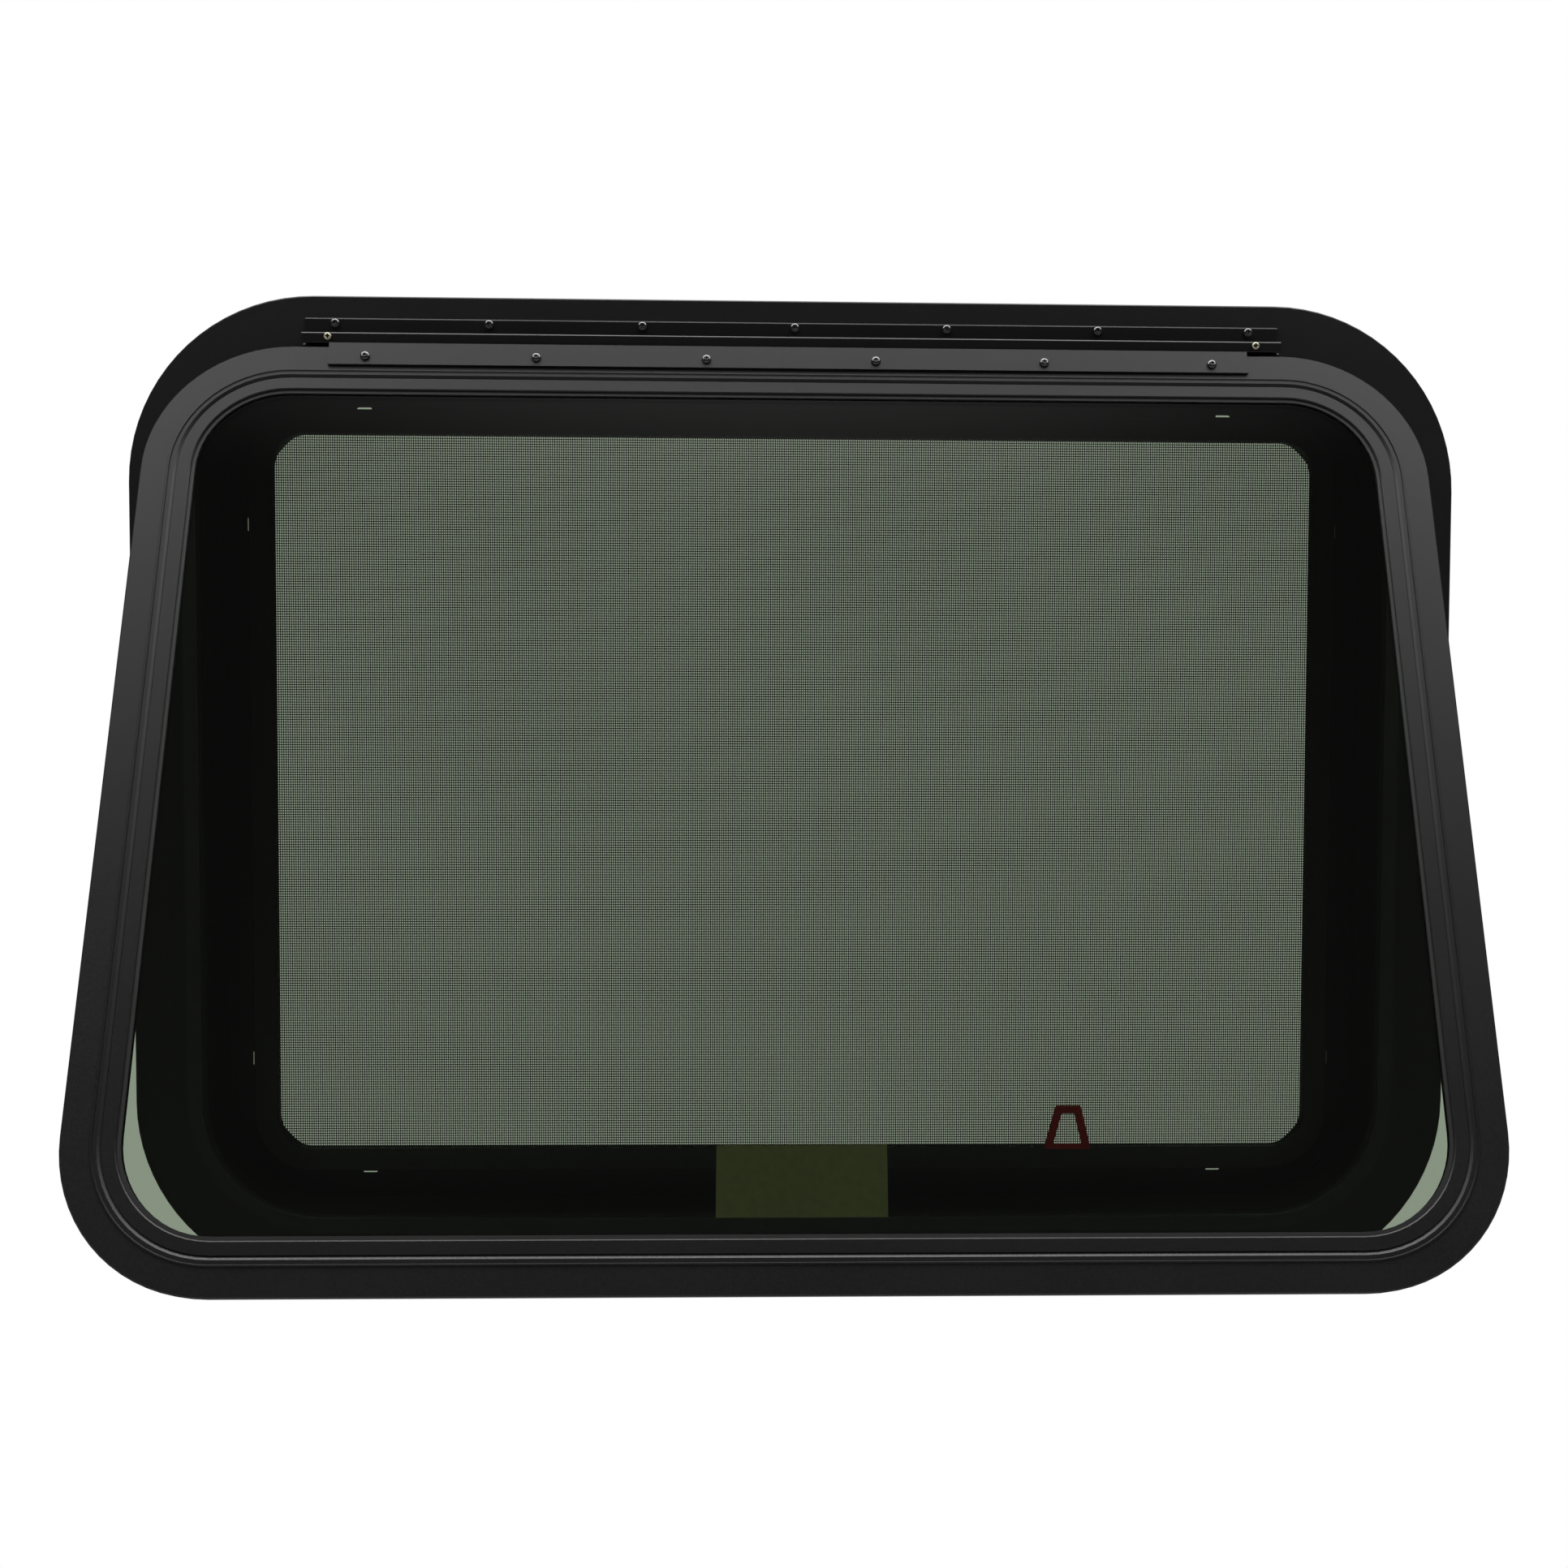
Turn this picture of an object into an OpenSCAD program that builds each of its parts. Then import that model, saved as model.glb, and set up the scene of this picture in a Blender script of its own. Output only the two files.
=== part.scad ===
// Top-hung caravan window: a bent aluminium frame with a fly screen, and a glazed sash that
// swings out at the bottom from a hook hinge along its top rail.
//
// X runs to the right seen from outside, Z up, and Y into the wall. The origin is the centre of
// the wall opening, on the outer skin of the wall, which the back of the outer flange rests on.
// Rings are described by a profile of [distance in from the outer edge, height out of the wall].

/* [Main frame] */
// Width over the outer flange
frame_w = 812; // [700:1:1000]
// Height over the outer flange
frame_h = 606; // [560:1:760]
// Radius of the flange's outer corners
frame_corner_r = 113; // [100:1:140]
// Width of the flange, from its outer edge to the throat
flange_face = 44; // [40:0.5:50]
// Thickness of the flange
flange_t = 2; // [1.6:0.1:3]
// Depth of the frame behind the outer skin of the wall
frame_depth = 44; // [36:1:60]
// Thickness of the throat wall and of the two lips behind it
web_t = 2; // [1.6:0.1:3]
// Thickness of the rib that locates the frame in the wall opening
rib_t = 1.8; // [1.2:0.1:2.5]
// Distance of that rib from the outer edge of the flange
rib_inset = 27; // [24:0.5:30]
// Height of that rib
rib_h = 10; // [6:0.5:16]
// Length of the plate that joins the ends of the bent frame
joint_plate_len = 70; // [40:1:90]
// Thickness of that plate
joint_plate_t = 2.5; // [2:0.1:4]
// Distance of that plate from the flange and from the back lip
joint_plate_margin = 7; // [4:0.5:12]
// Width of the lip that carries the clamp ring
screw_lip_w = 9; // [8:0.5:11]

/* [Drain slots] */
// Length of a slot in the screen lip
slot_len = 9.5; // [6:0.5:14]
// Width of a slot
slot_w = 2.4; // [1.6:0.1:3]
// Distance of a slot from where a corner starts
slot_corner_gap = 20; // [8:0.5:80]

/* [Throat seal] */
// Width of the seal's foot
seal_foot_w = 11; // [8:0.5:12]
// Thickness of the seal's foot
seal_foot_t = 1.4; // [1:0.1:2]
// Room left between the bulb and the closed sash
seal_gap = 0.3; // [0.2:0.1:1]

/* [Clamp ring] */
// Distance of the clamp ring's outer edge from the outer edge of the flange
clamp_inset = 12; // [8:0.5:20]
// Number of screws along the top and the bottom of the clamp ring
clamp_columns = 6; // [3:1:8]
// Number of screws along each side of the clamp ring
clamp_rows = 4; // [2:1:6]
// Thickness of the clamp ring
clamp_t = 1.6; // [1.2:0.1:3]
// How far the clamp ring's outer edge is turned towards the wall
clamp_return = 2; // [1:0.5:4]
// Distance of a clamp ring's screw from where a corner starts
clamp_screw_inset = 33.5; // [10:0.5:60]
// Radius of the shank of a clamp ring screw
clamp_screw_r = 1.5; // [1.2:0.1:1.8]

/* [Fly screen] */
// Gap between the throat wall and the screen's frame
screen_gap = 17.6; // [17:0.1:20]
// Width of the screen's frame
screen_rail_w = 15.4; // [14:0.1:18]
// Width of the seat that the screen's frame has on its lip
screen_seat_w = 9; // [7:0.5:9]
// Thickness of the screen's frame
screen_rail_t = 7; // [5:0.5:9]
// Radius of the outer corners of the screen's frame
screen_corner_r = 36; // [30:1:44]
// Thickness of the woven screen
mesh_t = 0.4; // [0.3:0.1:0.6]
// Number of openings across the plain grid that stands for the weave
mesh_columns = 12; // [6:1:12]
// Number of openings up that grid
mesh_rows = 9; // [4:1:12]
// Share of the sideways grid step that is open
mesh_open_x = 0.28; // [0.2:0.02:0.34]
// Share of the upright grid step that is open
mesh_open_z = 0.86; // [0.5:0.02:0.9]
// Diameter of the cord that holds the weave in its groove
spline_d = 2.8; // [2.2:0.1:3]

/* [Pull loop] */
// Distance of the loop from the middle of the screen
loop_x = 177.5; // [-280:0.5:280]
// Height of the loop above the inner edge of the screen's frame
loop_rise = 24; // [18:0.5:40]
// Width of the loop at its top
loop_top_w = 16; // [14:0.5:24]
// Width of the loop at its foot
loop_foot_w = 29.6; // [24:0.5:40]
// Width of the opening in the loop at its top
loop_hole_top_w = 8.4; // [5:0.1:9]
// Width of that opening at its foot
loop_hole_foot_w = 18; // [12:0.5:18]
// Width of the loop's top and foot bars
loop_bar = 4.1; // [3:0.1:5]
// Thickness of the loop
loop_t = 2; // [1.2:0.1:3]

/* [Hinge] */
// Distance of the upper rail's ends from the side edges of the flange
rail_end_inset = 109.5; // [96:0.5:150]
// Distance of the hinge to the right of the middle of the frame
hinge_x = -1.8; // [-6:0.1:6]
// Sideways play of the sash between the two end screws, each way
side_play = 2.4; // [2.4:0.1:12]
// Distance of the upper rail's top edge below the flange's top edge
rail_inset = 13.5; // [10:0.1:18]
// Height of the upper rail's screw strip
strip_h = 10.5; // [8:0.1:12]
// Distance of the upper rail's screws below its top edge
upper_screw_drop = 3.4; // [3.4:0.1:5]
// Thickness of the two screw strips
strip_t = 1.6; // [1.2:0.1:2.4]
// Height of the upper rail's drip cover above the hinge axis
cover_rise = 5.2; // [4.5:0.1:8]
// Radius of the round bead that the sash hangs on
bead_r = 2; // [1.6:0.1:2.4]
// Room between the bead and its socket
bead_clearance = 0.08; // [0.02:0.01:0.1]
// Thickness of the wall in front of the bead
socket_wall = 1.2; // [0.8:0.1:2]
// Thickness of the wall between the bead and the screw strip
socket_back = 3.8; // [1:0.1:6]
// Thickness of the neck that carries the bead
neck_t = 1.2; // [0.8:0.1:1.4]
// Height of the lower rail's screw strip on the face of the sash
lower_strip_h = 13; // [10:0.5:14]
// Height of its screws above its lower edge
lower_screw_rise = 5.5; // [4:0.1:8]
// Number of screws in the upper rail
upper_screw_count = 7; // [4:1:9]
// Distance of the first screw from the end of the upper rail
upper_screw_inset = 18; // [17:0.5:60]
// Number of screws in the lower rail
lower_screw_count = 6; // [4:2:8]
// Distance of the first screw from the end of the lower rail
lower_screw_inset = 22; // [8:0.5:60]
// Distance of an end screw from the end of the upper rail
end_screw_inset = 15.8; // [6:0.1:20]
// Height of the end screws above the hinge axis
end_screw_rise = 2.2; // [1.8:0.1:2.8]
// Radius of the head of a hinge screw
hinge_head_r = 2.9; // [2.2:0.1:3.2]
// Radius of the shank of a hinge screw
hinge_shank_r = 1.4; // [1.2:0.1:1.8]
// Radius of the head of an end screw
end_head_r = 2.3; // [1.6:0.1:2.6]

/* [Sash] */
// Distance of the closed sash from the side edges of the flange
sash_side_margin = 25.2; // [22:0.1:28]
// Distance of the closed sash from the top edge of the flange
sash_top_margin = 34.8; // [34:0.1:42]
// Distance of the closed sash from the bottom edge of the flange
sash_bottom_margin = 16.8; // [10:0.1:20]
// Radius of the sash's outer corners
sash_corner_r = 82.4; // [70:0.1:110]
// Thickness of the sash, without its ridges
sash_t = 8; // [7.6:0.1:12]
// Gap between the closed sash and the flange
sash_gap = 3.2; // [2.4:0.1:8]
// Width of the flat outer band of the sash
sash_band_w = 15.6; // [13:0.1:18]
// Width of the low rib inside the outer band
ridge_w = 1.5; // [1:0.1:3]
// Height of that rib
ridge_h = 0.6; // [0.3:0.1:1.5]
// Width of the flat land between the rib and the groove
land_w = 2.2; // [1:0.1:4]
// Width of the groove
groove_w = 2.3; // [1.5:0.1:4]
// Depth of the groove
groove_depth = 1.1; // [0.6:0.1:1.4]
// Width of the flat inner band beside the glass
inner_band_w = 7.4; // [6:0.1:9]
// Height of that band above the outer one, negative where it is sunk
inner_band_rise = -0.3; // [-0.5:0.1:1.4]
// Wall thickness of the sash extrusion
sash_wall = 1.6; // [1.2:0.1:2]
// How far the sash stands open in its stored position
open_angle = 20; // [0:1:40]
// How far the sash has slid sideways in its hinge
sash_slide = -2.3; // [-2.3:0.1:2.3]
// Distance of the joint in the top rail from the middle of the sash
sash_joint_x = 4; // [-100:1:100]

/* [Glazing] */
// Thickness of the glass
glass_t = 4; // [3:0.5:5]
// Gap between the edge of the glass and the sash
glass_edge_gap = 1; // [0.5:0.1:2]
// Width of the rubber gasket that shows beside the inner band
gasket_w = 2.2; // [1.5:0.1:4]
// Thickness of the outer gasket
gasket_t = 1.4; // [1:0.1:1.8]
// Width of the bead that holds the glass from inside
bead_strip_w = 6; // [4:0.5:8]
// Width of the rubber strip that shows beside that bead
inner_gasket_w = 1.8; // [1:0.1:3]
// Width of the label on the inner face of the glass
label_w = 90; // [60:1:140]
// Height of the label
label_h = 42; // [30:1:60]
// Distance of the label to the right of the middle of the sash
label_x = 5; // [-100:1:100]
// Distance of the label above the visible lower edge of the glass
label_rise = 9; // [6:0.5:40]
// Thickness of the label
label_t = 0.3; // [0.1:0.1:0.5]

/* [Hidden] */
$fn = 64;

black_coat = [0.07, 0.07, 0.075];
rubber = [0.03, 0.03, 0.03];
zinc = [0.62, 0.60, 0.52];

edge_chamfer = 0.8;
throat_w = frame_w - 2 * flange_face;
throat_h = frame_h - 2 * flange_face;
back_face = -frame_depth;
lip_face = back_face + web_t;
screw_lip_start = flange_face - web_t - screw_lip_w;
screen_lip_end = flange_face + screen_gap + screen_seat_w;

screen_w = throat_w - 2 * screen_gap;
screen_h = throat_h - 2 * screen_gap;
screen_face = lip_face + screen_rail_t;
opening_w = screen_w - 2 * screen_rail_w;
opening_h = screen_h - 2 * screen_rail_w;
mesh_seat = 0.8;
mesh_hold = 1.3;
groove_clearance = 0.1;
slot_clearance = 0.2;
seal_edge = 1;
slot_inset = flange_face + screen_gap - slot_clearance - slot_w / 2;
straight_w = frame_w - 2 * frame_corner_r;
straight_h = frame_h - 2 * frame_corner_r;

clamp_screw_line = screw_lip_start + screw_lip_w / 2;
clamp_hole_clearance = 0.3;
pilot_clearance = 0.1;
over = 1;
shank_short = 0.2;
clamp_screw_reach = 2;
pan_head_ratio = 2;
pan_head_h = 1.8;

hinge_hole_r = hinge_shank_r + pilot_clearance;
end_screw_stop = 1.2;
socket_r = bead_r + bead_clearance;
axis_y = -(flange_t + strip_t + socket_back + socket_r);
cover_face = socket_r + socket_wall - axis_y;
rail_top = frame_h / 2 - rail_inset;
cover_top = rail_top - strip_h;
axis_z = cover_top - cover_rise;
upper_screw_z = rail_top - upper_screw_drop;
end_screw_z = axis_z + end_screw_rise;
cover_edge_r = 1.4;
mouth_back = 37;
mouth_front = 67;
neck_lean = 15;
back_lip_drop = 0.8;
jog_drop = 2 * bead_r;
mouth_reach = 8 * bead_r;
upper_rail_len = frame_w - 2 * rail_end_inset;
end_screw_x = upper_rail_len / 2 - end_screw_inset;
lower_rail_len = 2 * (end_screw_x - hinge_shank_r - side_play);

sash_w = frame_w - 2 * sash_side_margin;
sash_h = frame_h - sash_top_margin - sash_bottom_margin;
sash_face_y = -(flange_t + sash_gap + sash_t);
sash_top = frame_h / 2 - sash_top_margin;
sash_mid_z = sash_top - sash_h / 2;
lower_screw_z = sash_top - lower_strip_h + lower_screw_rise;
ridge_slope = 0.4;
groove_floor = 0.6;
bead_strip_t = 1;
loop_corner = 1.4;
label_corner_r = 1;
land_start = sash_band_w + ridge_w;
groove_start = land_start + land_w;
inner_band_start = groove_start + groove_w;
inner_band_end = inner_band_start + inner_band_w;
band_chamfer = 0.6;
glass_back = bead_strip_t - sash_t;
glass_face = glass_back + glass_t;
gasket_face = glass_face + gasket_t;
inner_gasket_t = 0.8;
glass_inset = inner_band_start + sash_wall + glass_edge_gap;
seam_w = 0.3;
seam_depth = 0.4;
dome_h = 1.9;

function turn(angle, reach) = [reach * sin(angle), -reach * cos(angle)];

// A ring bent from one extrusion, standing in the wall plane. The child is the profile, drawn
// with x as the distance in from the outer edge and y as the height out of the wall.
module bent_ring(w, h, corner_r) {
    rotate([90, 0, 0]) {
        for (side = [-1, 1])
            translate([side * (w / 2 - corner_r), 0, 0])
                rotate([0, 0, side > 0 ? 0 : 180])
                    ring_side(h - 2 * corner_r, corner_r) children();
        for (side = [-1, 1])
            translate([0, side * (h / 2 - corner_r), 0])
                rotate([0, 0, side * 90])
                    ring_side(w - 2 * corner_r, corner_r) children();
        for (corner = [[1, 1, 0], [-1, 1, 90], [-1, -1, 180], [1, -1, 270]])
            translate([corner[0] * (w / 2 - corner_r), corner[1] * (h / 2 - corner_r), 0])
                rotate([0, 0, corner[2]])
                    rotate_extrude(angle = 90)
                        translate([corner_r, 0]) mirror([1, 0]) children();
    }
}

module ring_side(len, corner_r) {
    translate([0, len / 2, 0])
        rotate([90, 0, 0])
            linear_extrude(len)
                translate([corner_r, 0]) mirror([1, 0]) children();
}

// A flat plate with round corners, standing in the wall plane with its outer face at height top.
module standing_plate(w, h, corner_r, top, t) {
    translate([0, -top, 0])
        rotate([90, 0, 0])
            translate([0, 0, -t])
                linear_extrude(t) {
                    square([w - 2 * corner_r, h], center = true);
                    square([w, h - 2 * corner_r], center = true);
                    for (sx = [-1, 1], sz = [-1, 1])
                        translate([sx * (w / 2 - corner_r), sz * (h / 2 - corner_r)])
                            circle(corner_r);
                }
}

// A bar along X whose profile is drawn in [y, z].
module rail_along_x(len) {
    translate([-len / 2, 0, 0])
        rotate([90, 0, 90])
            linear_extrude(len) children();
}

// A round hole or shank along Y, from y0 to y1.
module along_y(x, z, y0, y1, r) {
    translate([x, y1, z])
        rotate([90, 0, 0])
            cylinder(r = r, h = y1 - y0);
}

// A screw with a low domed head outside seat_y, and a shank of the given length inside it.
module domed_screw(x, z, seat_y, head_r, shank_r, len) {
    ball_r = (head_r * head_r + dome_h * dome_h) / (2 * dome_h);
    intersection() {
        translate([x, seat_y - dome_h + ball_r, z]) sphere(ball_r);
        along_y(x, z, seat_y - dome_h - over, seat_y, head_r + over);
    }
    along_y(x, z, seat_y, seat_y + len, shank_r);
}

// The sash's own place when closed, and its stored place, swung open about the hinge axis.
module in_sash() {
    translate([hinge_x + sash_slide, axis_y, axis_z])
        rotate([-open_angle, 0, 0])
            translate([0, -axis_y, -axis_z])
                children();
}

module sash_ring() {
    translate([0, sash_face_y, sash_mid_z])
        bent_ring(sash_w, sash_h, sash_corner_r) children();
}

// Places of n screws along a length, the first and last at the given distance from its ends.
function spread(n, len, inset) = [for (i = [0 : n - 1]) (len - 2 * inset) * (i / (n - 1) - 0.5)];
upper_screws = [
    for (x = spread(upper_screw_count, upper_rail_len, upper_screw_inset)) hinge_x + x
];
end_screws = [for (side = [-1, 1]) hinge_x + side * end_screw_x];
lower_screws = spread(lower_screw_count, lower_rail_len, lower_screw_inset);
clamp_xs = spread(clamp_columns, straight_w, clamp_screw_inset);
clamp_zs = spread(clamp_rows, straight_h, clamp_screw_inset);
clamp_points = concat(
    [for (x = clamp_xs, side = [-1, 1]) [x, side * (frame_h / 2 - clamp_screw_line)]],
    [for (z = clamp_zs, side = [-1, 1]) [side * (frame_w / 2 - clamp_screw_line), z]]
);

module drain_slot(x, z, turned) {
    translate([x, -back_face + over, z])
        rotate([90, turned ? 90 : 0, 0])
            linear_extrude(web_t + 2 * over) {
                square([slot_len - slot_w, slot_w], center = true);
                for (side = [-1, 1])
                    translate([side * (slot_len - slot_w) / 2, 0]) circle(slot_w / 2);
            }
}

module main_frame() {
    color(black_coat)
        difference() {
            bent_ring(frame_w, frame_h, frame_corner_r)
                polygon([
                    [0, 0],
                    [0, flange_t - edge_chamfer],
                    [edge_chamfer, flange_t],
                    [flange_face, flange_t],
                    [flange_face, lip_face],
                    [screen_lip_end, lip_face],
                    [screen_lip_end, back_face],
                    [screw_lip_start, back_face],
                    [screw_lip_start, lip_face],
                    [flange_face - web_t, lip_face],
                    [flange_face - web_t, 0],
                    [rib_inset + rib_t, 0],
                    [rib_inset + rib_t, -rib_h],
                    [rib_inset, -rib_h],
                    [rib_inset, 0]
                ]);
            for (sx = [-1, 1], sz = [-1, 1]) {
                drain_slot(sx * (straight_w / 2 - slot_corner_gap), sz * (frame_h / 2 - slot_inset),
                           false);
                drain_slot(sx * (frame_w / 2 - slot_inset), sz * (straight_h / 2 - slot_corner_gap),
                           true);
            }
            for (p = clamp_points)
                along_y(p[0], p[1], -lip_face - over, -back_face + over,
                        clamp_screw_r + pilot_clearance);
            for (x = upper_screws)
                along_y(x, upper_screw_z, -flange_t - over, over, hinge_hole_r);
            translate([-seam_w / 2, -flange_t - over, -frame_h / 2 - over])
                cube([seam_w, seam_depth + over, flange_face + over]);
        }
}

// The plate bridges the butt joint at the foot of the frame, on the outer side of the throat wall.
module frame_joint_plate() {
    plate_end = -lip_face - joint_plate_margin;
    color(black_coat)
        translate([
            -joint_plate_len / 2,
            joint_plate_margin,
            -frame_h / 2 + flange_face - web_t - joint_plate_t
        ])
            cube([joint_plate_len, plate_end - joint_plate_margin, joint_plate_t]);
}

module throat_seal() {
    bulb_top = flange_t + sash_gap - seal_gap;
    bulb_r = (bulb_top - flange_t - seal_foot_t / 2) / 2;
    foot_end = flange_face - seal_edge;
    color(rubber)
        bent_ring(frame_w, frame_h, frame_corner_r) {
            translate([foot_end - seal_foot_w, flange_t]) square([seal_foot_w, seal_foot_t]);
            translate([foot_end - bulb_r - seal_edge, bulb_top - bulb_r]) circle(bulb_r);
        }
}

module clamp_ring() {
    ring_back = back_face - clamp_t;
    color(black_coat)
        difference() {
            bent_ring(frame_w, frame_h, frame_corner_r)
                polygon([
                    [clamp_inset, back_face + clamp_return],
                    [clamp_inset + clamp_t, back_face + clamp_return],
                    [clamp_inset + clamp_t, back_face],
                    [flange_face, back_face],
                    [flange_face, ring_back],
                    [clamp_inset + edge_chamfer, ring_back],
                    [clamp_inset, ring_back + edge_chamfer]
                ]);
            for (p = clamp_points)
                along_y(p[0], p[1], -back_face - over, -ring_back + over,
                        clamp_screw_r + clamp_hole_clearance);
        }
}

module clamp_ring_screws() {
    seat = -back_face + clamp_t;
    color(black_coat)
        for (p = clamp_points) {
            along_y(p[0], p[1], seat, seat + pan_head_h, pan_head_ratio * clamp_screw_r);
            along_y(p[0], p[1], -lip_face - clamp_screw_reach, seat, clamp_screw_r);
        }
}

module screen_frame() {
    groove_in = screen_rail_w - mesh_hold;
    groove_out = groove_in - spline_d - 2 * groove_clearance;
    color(black_coat)
        bent_ring(screen_w, screen_h, screen_corner_r)
            polygon([
                [0, lip_face],
                [0, screen_face - edge_chamfer],
                [edge_chamfer, screen_face],
                [screen_rail_w - edge_chamfer, screen_face],
                [screen_rail_w, screen_face - edge_chamfer],
                [screen_rail_w, lip_face + mesh_seat],
                [groove_in, lip_face + mesh_seat],
                [groove_in, lip_face + mesh_seat + spline_d],
                [groove_out, lip_face + mesh_seat + spline_d],
                [groove_out, lip_face + mesh_seat],
                [screen_seat_w, lip_face + mesh_seat],
                [screen_seat_w, lip_face]
            ]);
}

module screen_mesh() {
    inset = screen_rail_w - mesh_hold;
    step_x = opening_w / mesh_columns;
    step_z = opening_h / mesh_rows;
    color([0.25, 0.27, 0.26])
        difference() {
            standing_plate(screen_w - 2 * inset, screen_h - 2 * inset, screen_corner_r - inset,
                           lip_face + mesh_seat, mesh_t);
            translate([0, -lip_face - mesh_seat + mesh_t + over, 0])
                rotate([90, 0, 0])
                    linear_extrude(mesh_t + 2 * over)
                        for (i = [1 : mesh_columns], j = [1 : mesh_rows])
                            translate([
                                (i - (mesh_columns + 1) / 2) * step_x,
                                (j - (mesh_rows + 1) / 2) * step_z
                            ])
                                square([mesh_open_x * step_x, mesh_open_z * step_z], center = true);
        }
}

module screen_spline() {
    color(rubber)
        bent_ring(screen_w, screen_h, screen_corner_r)
            translate([
                screen_rail_w - mesh_hold - groove_clearance - spline_d / 2,
                lip_face + mesh_seat + spline_d / 2
            ])
                circle(spline_d / 2);
}

module screen_pull_loop() {
    color([0.35, 0.03, 0.03])
        translate([loop_x, -screen_face, -opening_h / 2])
            rotate([90, 0, 0])
                linear_extrude(loop_t)
                    difference() {
                        polygon([
                            [-loop_foot_w / 2, -loop_bar],
                            [loop_foot_w / 2, -loop_bar],
                            [loop_top_w / 2, loop_rise - loop_corner],
                            [loop_top_w / 2 - loop_corner, loop_rise],
                            [loop_corner - loop_top_w / 2, loop_rise],
                            [-loop_top_w / 2, loop_rise - loop_corner]
                        ]);
                        polygon([
                            [-loop_hole_foot_w / 2, 0],
                            [loop_hole_foot_w / 2, 0],
                            [loop_hole_top_w / 2, loop_rise - loop_bar],
                            [-loop_hole_top_w / 2, loop_rise - loop_bar]
                        ]);
                    }
}

// The drip cover in profile: a block with a round top edge over the outer wall of the socket.
module cover_profile() {
    cover_front = -cover_face;
    translate([axis_y, axis_z]) circle(socket_r + socket_wall);
    translate([cover_front + cover_edge_r, cover_top - cover_edge_r]) circle(cover_edge_r);
    translate([cover_front, axis_z])
        square([cover_face - flange_t, cover_rise - cover_edge_r]);
    translate([cover_front + cover_edge_r, axis_z])
        square([cover_face - flange_t - cover_edge_r, cover_rise]);
}

module hinge_upper_rail() {
    socket_bottom = axis_z - back_lip_drop;
    mouth = [[0, 0], turn(mouth_back, mouth_reach), turn(-mouth_front, mouth_reach)];
    color(black_coat)
        difference() {
            translate([hinge_x, 0, 0])
                rail_along_x(upper_rail_len)
                    difference() {
                        union() {
                            polygon([
                                [-flange_t, socket_bottom],
                                [-flange_t, rail_top],
                                [-flange_t - strip_t + edge_chamfer, rail_top],
                                [-flange_t - strip_t, rail_top - edge_chamfer],
                                [-flange_t - strip_t, socket_bottom]
                            ]);
                            cover_profile();
                        }
                        translate([axis_y, axis_z]) {
                            circle(socket_r);
                            polygon(mouth);
                        }
                    }
            for (x = upper_screws)
                along_y(x, upper_screw_z, -flange_t - strip_t - over, 0, hinge_hole_r);
            for (x = end_screws)
                along_y(x, end_screw_z, -cover_face - over, -flange_t - over, hinge_hole_r);
        }
}

module hinge_upper_screws() {
    color(black_coat)
        for (x = upper_screws)
            domed_screw(x, upper_screw_z, -flange_t - strip_t, hinge_head_r, hinge_shank_r,
                        flange_t + strip_t - shank_short);
}

module hinge_end_screws() {
    color(zinc)
        for (x = end_screws)
            domed_screw(x, end_screw_z, -cover_face, end_head_r, hinge_shank_r,
                        cover_face - flange_t - end_screw_stop);
}

module hinge_lower_rail() {
    neck_end = turn(neck_lean, jog_drop / cos(neck_lean));
    strip_face = sash_face_y - strip_t;
    color(black_coat)
        in_sash()
            difference() {
                rail_along_x(lower_rail_len) {
                    translate([axis_y, axis_z]) {
                        circle(bead_r);
                        rotate(neck_lean)
                            translate([-neck_t / 2, -(jog_drop + neck_t) / cos(neck_lean)])
                                square([neck_t, (jog_drop + neck_t) / cos(neck_lean)]);
                    }
                    translate([strip_face, axis_z - jog_drop - neck_t])
                        square([axis_y + neck_end[0] - strip_face, neck_t]);
                    translate([strip_face, sash_top - lower_strip_h])
                        square([strip_t, axis_z - jog_drop - sash_top + lower_strip_h]);
                }
                for (x = lower_screws)
                    along_y(x, lower_screw_z, strip_face - over, sash_face_y + over, hinge_hole_r);
            }
}

module hinge_lower_screws() {
    color(black_coat)
        in_sash()
            for (x = lower_screws)
                domed_screw(x, lower_screw_z, sash_face_y - strip_t, hinge_head_r, hinge_shank_r,
                            strip_t + sash_wall - shank_short);
}

module sash_frame() {
    color(black_coat)
        in_sash()
            difference() {
                sash_ring()
                    difference() {
                        polygon([
                            [0, -sash_t],
                            [0, -edge_chamfer],
                            [edge_chamfer, 0],
                            [sash_band_w, 0],
                            [sash_band_w + ridge_slope, ridge_h],
                            [land_start - ridge_slope, ridge_h],
                            [land_start, 0],
                            [groove_start, 0],
                            [inner_band_start - groove_floor, -groove_depth],
                            [inner_band_start, -groove_depth],
                            [inner_band_start, inner_band_rise],
                            [inner_band_end - band_chamfer, inner_band_rise],
                            [inner_band_end, inner_band_rise - band_chamfer],
                            [inner_band_end, gasket_face],
                            [inner_band_start + sash_wall, gasket_face],
                            [inner_band_start + sash_wall, -sash_t]
                        ]);
                        translate([sash_wall, -sash_t + sash_wall])
                            square([sash_band_w - sash_wall, sash_t - 2 * sash_wall]);
                    }
                for (x = lower_screws)
                    along_y(x, lower_screw_z, sash_face_y - over, sash_face_y + sash_wall + over,
                            hinge_hole_r);
                translate([sash_joint_x - seam_w / 2, sash_face_y - over, sash_top - inner_band_end])
                    cube([seam_w, over + seam_depth, inner_band_end + over]);
            }
}

module glass_pane() {
    color([0.35, 0.42, 0.36, 0.5])
        in_sash()
            translate([0, sash_face_y, sash_mid_z])
                standing_plate(sash_w - 2 * glass_inset, sash_h - 2 * glass_inset,
                               sash_corner_r - glass_inset, glass_face, glass_t);
}

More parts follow.
